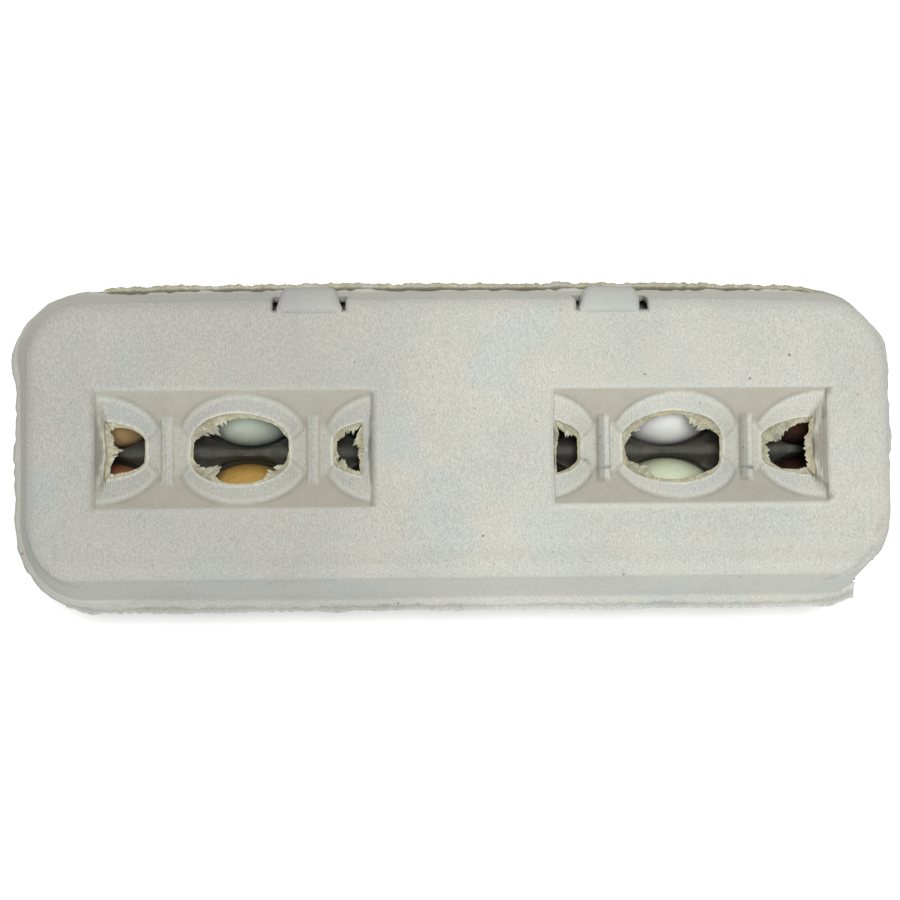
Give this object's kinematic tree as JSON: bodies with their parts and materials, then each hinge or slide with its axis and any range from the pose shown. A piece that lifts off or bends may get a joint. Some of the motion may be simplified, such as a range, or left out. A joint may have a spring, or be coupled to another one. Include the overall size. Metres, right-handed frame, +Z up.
{
  "type": "egg carton",
  "caption": "Closed moulded pulp egg carton with a hinged lid, sunk window panels, a locking flap with buttons, and loose eggs in its cups.",
  "frame": {"origin": "middle of the carton's footprint, on the surface it stands on", "axes": "+X along the carton, +Y towards the locking flap, +Z up"},
  "size_m": [0.301, 0.1094, 0.068],
  "materials": {
    "tray_pulp": "matte moulded pulp, rough",
    "lid_pulp": "matte moulded pulp with a fine mesh print",
    "flap_pulp": "matte moulded pulp, pressed smooth",
    "crease_pulp": "matte moulded pulp, creased and fibrous",
    "egg_front_1_shell": "smooth eggshell, low sheen",
    "egg_front_2_shell": "smooth eggshell, low sheen",
    "egg_front_3_shell": "smooth eggshell, low sheen",
    "egg_front_4_shell": "smooth eggshell, low sheen",
    "egg_front_5_shell": "smooth eggshell, low sheen",
    "egg_front_6_shell": "smooth eggshell, low sheen",
    "egg_back_1_shell": "smooth eggshell, low sheen",
    "egg_back_2_shell": "smooth eggshell, low sheen",
    "egg_back_3_shell": "smooth eggshell, low sheen",
    "egg_back_4_shell": "smooth eggshell, low sheen",
    "egg_back_5_shell": "smooth eggshell, low sheen",
    "egg_back_6_shell": "smooth eggshell, low sheen"
  },
  "bodies": {
    "tray": {"tray": "tray_pulp", "back_crease": "crease_pulp"},
    "lid": {"lid": "lid_pulp"},
    "locking_flap": {"locking_flap": "flap_pulp", "front_crease": "crease_pulp"},
    "lock_button_left": {"lock_button_left": "flap_pulp"},
    "lock_button_right": {"lock_button_right": "flap_pulp"},
    "egg_front_1": {"egg_front_1": "egg_front_1_shell"},
    "egg_front_2": {"egg_front_2": "egg_front_2_shell"},
    "egg_front_3": {"egg_front_3": "egg_front_3_shell"},
    "egg_front_4": {"egg_front_4": "egg_front_4_shell"},
    "egg_front_5": {"egg_front_5": "egg_front_5_shell"},
    "egg_front_6": {"egg_front_6": "egg_front_6_shell"},
    "egg_back_1": {"egg_back_1": "egg_back_1_shell"},
    "egg_back_2": {"egg_back_2": "egg_back_2_shell"},
    "egg_back_3": {"egg_back_3": "egg_back_3_shell"},
    "egg_back_4": {"egg_back_4": "egg_back_4_shell"},
    "egg_back_5": {"egg_back_5": "egg_back_5_shell"},
    "egg_back_6": {"egg_back_6": "egg_back_6_shell"}
  },
  "joints": [
    {"name": "lid_hinge", "type": "hinge", "parent": "tray", "child": "lid", "pos_m": [0, -0.0538, 0.04015], "axis": [1, 0, 0], "range_deg": [0, 180]},
    {"name": "flap_swing", "type": "hinge", "parent": "tray", "child": "locking_flap", "pos_m": [0, 0.049, 0.0408], "axis": [-1, 0, 0], "range_deg": [0, 81]},
    {"name": "press_button_left", "type": "hinge", "parent": "locking_flap", "child": "lock_button_left", "pos_m": [0, 0.049, 0.0408], "axis": [-1, 0, 0], "range_deg": [-6, 0], "stiffness_Nm_per_rad": 0.005, "springref_deg": 5.73},
    {"name": "press_button_right", "type": "hinge", "parent": "locking_flap", "child": "lock_button_right", "pos_m": [0, 0.049, 0.0408], "axis": [-1, 0, 0], "range_deg": [-6, 0], "stiffness_Nm_per_rad": 0.005, "springref_deg": 5.73},
    {"name": "lift_egg_front_1", "type": "slide", "parent": "tray", "child": "egg_front_1", "axis": [0, 0, 1], "range_m": [0, 0.0025]},
    {"name": "lift_egg_front_2", "type": "slide", "parent": "tray", "child": "egg_front_2", "axis": [0, 0, 1], "range_m": [0, 0.0025]},
    {"name": "lift_egg_front_3", "type": "slide", "parent": "tray", "child": "egg_front_3", "axis": [0, 0, 1], "range_m": [0, 0.0025]},
    {"name": "lift_egg_front_4", "type": "slide", "parent": "tray", "child": "egg_front_4", "axis": [0, 0, 1], "range_m": [0, 0.0025]},
    {"name": "lift_egg_front_5", "type": "slide", "parent": "tray", "child": "egg_front_5", "axis": [0, 0, 1], "range_m": [0, 0.0025]},
    {"name": "lift_egg_front_6", "type": "slide", "parent": "tray", "child": "egg_front_6", "axis": [0, 0, 1], "range_m": [0, 0.0025]},
    {"name": "lift_egg_back_1", "type": "slide", "parent": "tray", "child": "egg_back_1", "axis": [0, 0, 1], "range_m": [0, 0.0025]},
    {"name": "lift_egg_back_2", "type": "slide", "parent": "tray", "child": "egg_back_2", "axis": [0, 0, 1], "range_m": [0, 0.0025]},
    {"name": "lift_egg_back_3", "type": "slide", "parent": "tray", "child": "egg_back_3", "axis": [0, 0, 1], "range_m": [0, 0.0025]},
    {"name": "lift_egg_back_4", "type": "slide", "parent": "tray", "child": "egg_back_4", "axis": [0, 0, 1], "range_m": [0, 0.0025]},
    {"name": "lift_egg_back_5", "type": "slide", "parent": "tray", "child": "egg_back_5", "axis": [0, 0, 1], "range_m": [0, 0.0025]},
    {"name": "lift_egg_back_6", "type": "slide", "parent": "tray", "child": "egg_back_6", "axis": [0, 0, 1], "range_m": [0, 0.0025]}
  ],
  "couplings": [
    {"joint": "flap_swing", "follows": "lid_hinge", "ratio": 0.45}
  ]
}
